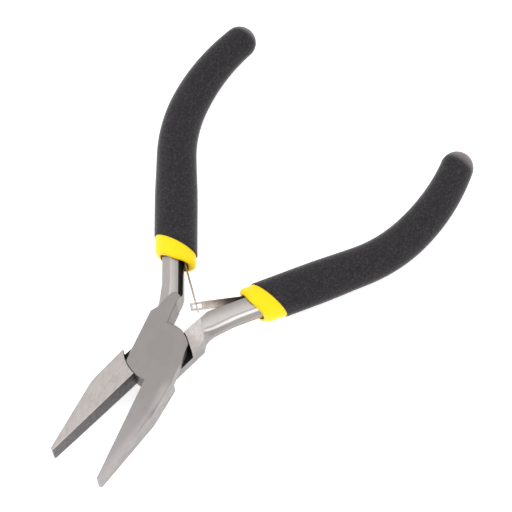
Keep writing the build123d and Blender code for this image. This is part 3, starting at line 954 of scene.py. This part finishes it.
def make_strip(name, side, slotted):
    """Thin strip from its hidden foot, round the bend, to the slot or the tongue at its end."""
    foot_end, bend_back, root, bend_front, heading = strip_path()
    middle = [foot_end.lerp(bend_back, k / FOOT_STEPS) for k in range(FOOT_STEPS + 1)]
    for k in range(1, BEND_STEPS):
        t = k / BEND_STEPS
        a, b = bend_back.lerp(root, t), root.lerp(bend_front, t)
        middle.append(a.lerp(b, t))
    for k in range(LEAF_STEPS + 1):
        d = BEND_AHEAD + (PLAIN_LEAF_END - BEND_AHEAD) * k / LEAF_STEPS
        middle.append(root + heading * d)
    for d in SLOT_ROWS if slotted else TONGUE_ROWS:
        middle.append(root + heading * d)
    edge = SPRING_WIDTH / 2
    cut_at = (SLOT_WIDTH if slotted else TONGUE_WIDTH) / 2
    across_cuts = [-edge, -cut_at, cut_at, edge]
    verts, faces = [], []
    normals = []
    for k in range(len(middle)):
        before = middle[max(0, k - 1)]
        after = middle[min(len(middle) - 1, k + 1)]
        along = (after - before).normalized()
        normals.append(Vector((-along.y, along.x, 0)))
    for point, normal in zip(middle, normals):
        for level in (-0.5, 0.5):
            for cut in across_cuts:
                p = point + normal * SPRING_THICKNESS * level
                verts.append((p.x, p.y, cut))
    columns = len(across_cuts)
    row = 2 * columns

    def solid(r, c):
        """Whether the strip is there between rows r and r+1, columns c and c+1."""
        if not (0 <= c < columns - 1 and 0 <= r < len(middle) - 1):
            return False
        past = (middle[r] + middle[r + 1]) / 2
        d = (past - root).dot(heading)
        if slotted:
            return not (c == 1 and SLOT_START < d < SLOT_END)
        return c == 1 or d < TONGUE_START

    for r in range(len(middle) - 1):
        for c in range(columns - 1):
            if not solid(r, c):
                continue
            low = [r * row + c, r * row + c + 1, (r + 1) * row + c + 1, (r + 1) * row + c]
            high = [v + columns for v in low]
            faces.append(tuple(reversed(low)))
            faces.append(tuple(high))
            sides = {(r, c - 1): (0, 3), (r, c + 1): (1, 2), (r - 1, c): (0, 1), (r + 1, c): (3, 2)}
            for neighbour, (i, j) in sides.items():
                if not solid(*neighbour):
                    faces.append((low[i], low[j], high[j], high[i]))
    matrix = half_matrix(side)
    obj = make_mesh(name + "_spring_strip", verts, faces, matrix, SPRING, STRIP_SMOOTH_ANGLE)
    bm = bmesh.new()
    bm.from_mesh(obj.data)
    loose = [v for v in bm.verts if not v.link_faces]
    bmesh.ops.delete(bm, geom=loose, context="VERTS")
    bmesh.ops.recalc_face_normals(bm, faces=bm.faces)
    bm.to_mesh(obj.data)
    bm.free()
    bevel = obj.modifiers.new("worn_edges", "BEVEL")
    bevel.width = WORN_EDGE * MM
    bevel.segments = WORN_SEGMENTS
    bevel.limit_method = "ANGLE"
    bevel.angle_limit = radians(SHARP_ANGLE)
    bake_modifiers(obj)
    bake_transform(obj)
    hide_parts(name + "_spring_foot", name + "_spring_leaf")


def bake_modifiers(obj):
    """Turns an object's modifiers into its mesh."""
    bpy.context.view_layer.update()
    graph = bpy.context.evaluated_depsgraph_get()
    mesh = bpy.data.meshes.new_from_object(obj.evaluated_get(graph))
    obj.modifiers.clear()
    old = obj.data
    obj.data = mesh
    bpy.data.meshes.remove(old)


for name, side in SIDES:
    make_strip(name, side, slotted=(side == -1))

# ---------------------------------------------------------------- floor, lights and camera

FLOOR_Z = -1.35
FLOOR_GAP = 0.02
FLOOR_SIZE = 4000.0
FLOOR_GLOW = 0.6
WORLD_STRENGTH = 1.15
KEY = {"place": (-250, 350, 700), "size": 500, "power": 1.1}
FILL = {"place": (450, -450, 600), "size": 600, "power": 0.6}
# Azimuth, elevation and roll of the camera in degrees
CAMERA_TURN = (-137.264, 65.041, -8.973)
CAMERA_TARGET = (33.98, -4.54, 3.54)
CAMERA_DISTANCE = 751.0
CAMERA_LENS = 215.2
CAMERA_SENSOR = 36.0
CAMERA_CLIP = (50, 10000)
MIDDLE_OF_VIEW = (30, 0, 0)


def make_floor():
    """White floor just under the object. It glows a little, so that shadows stay faint."""
    mesh = bpy.data.meshes.new("floor")
    h = FLOOR_SIZE / 2 * MM
    z = (FLOOR_Z - FLOOR_GAP) * MM
    mesh.from_pydata([(-h, -h, z), (h, -h, z), (h, h, z), (-h, h, z)], [], [(0, 1, 2, 3)])
    n = Nodes("floor_white")
    n.set(Base_Color=(0.85, 0.85, 0.85, 1), Roughness=0.9, Specular_IOR_Level=0.1)
    n.set(Emission_Color=(1.0, 1.0, 1.0, 1), Emission_Strength=FLOOR_GLOW)
    mesh.materials.append(n.material)
    obj = bpy.data.objects.new("floor", mesh)
    bpy.context.scene.collection.objects.link(obj)


def area_light(name, place, size, power):
    """Round soft light at a place, facing the middle of the view."""
    light = bpy.data.lights.new(name, "AREA")
    light.shape = "DISK"
    light.size = size * MM
    light.energy = power
    obj = bpy.data.objects.new(name, light)
    obj.location = Vector(place) * MM
    aim = Vector(MIDDLE_OF_VIEW) - Vector(place)
    obj.rotation_euler = aim.to_track_quat("-Z", "Y").to_euler()
    bpy.context.scene.collection.objects.link(obj)


def make_camera():
    """Camera high above the jaws' side of the object, rolled slightly, with a long lens."""
    azimuth, elevation, roll = (radians(angle) for angle in CAMERA_TURN)
    back = Vector((cos(elevation) * cos(azimuth), cos(elevation) * sin(azimuth), sin(elevation)))
    right = (-back).cross(Vector((0, 0, 1))).normalized()
    up = back.cross(right)
    right, up = cos(roll) * right + sin(roll) * up, cos(roll) * up - sin(roll) * right
    data = bpy.data.cameras.new("photo_view")
    data.sensor_width = CAMERA_SENSOR
    data.lens = CAMERA_LENS
    data.clip_start, data.clip_end = (at * MM for at in CAMERA_CLIP)
    obj = bpy.data.objects.new("photo_view", data)
    place = (Vector(CAMERA_TARGET) + back * CAMERA_DISTANCE) * MM
    turned = Matrix((right, up, back)).transposed().to_4x4()
    obj.matrix_world = Matrix.Translation(place) @ turned
    bpy.context.scene.collection.objects.link(obj)
    bpy.context.scene.camera = obj


make_floor()
make_camera()
area_light("soft_key", **KEY)
area_light("soft_fill", **FILL)

world = bpy.data.worlds.new("studio")
world.use_nodes = True
background = world.node_tree.nodes["Background"]
background.inputs["Color"].default_value = (1.0, 1.0, 1.0, 1)
background.inputs["Strength"].default_value = WORLD_STRENGTH
bpy.context.scene.world = world
bpy.context.scene.view_settings.view_transform = "Standard"
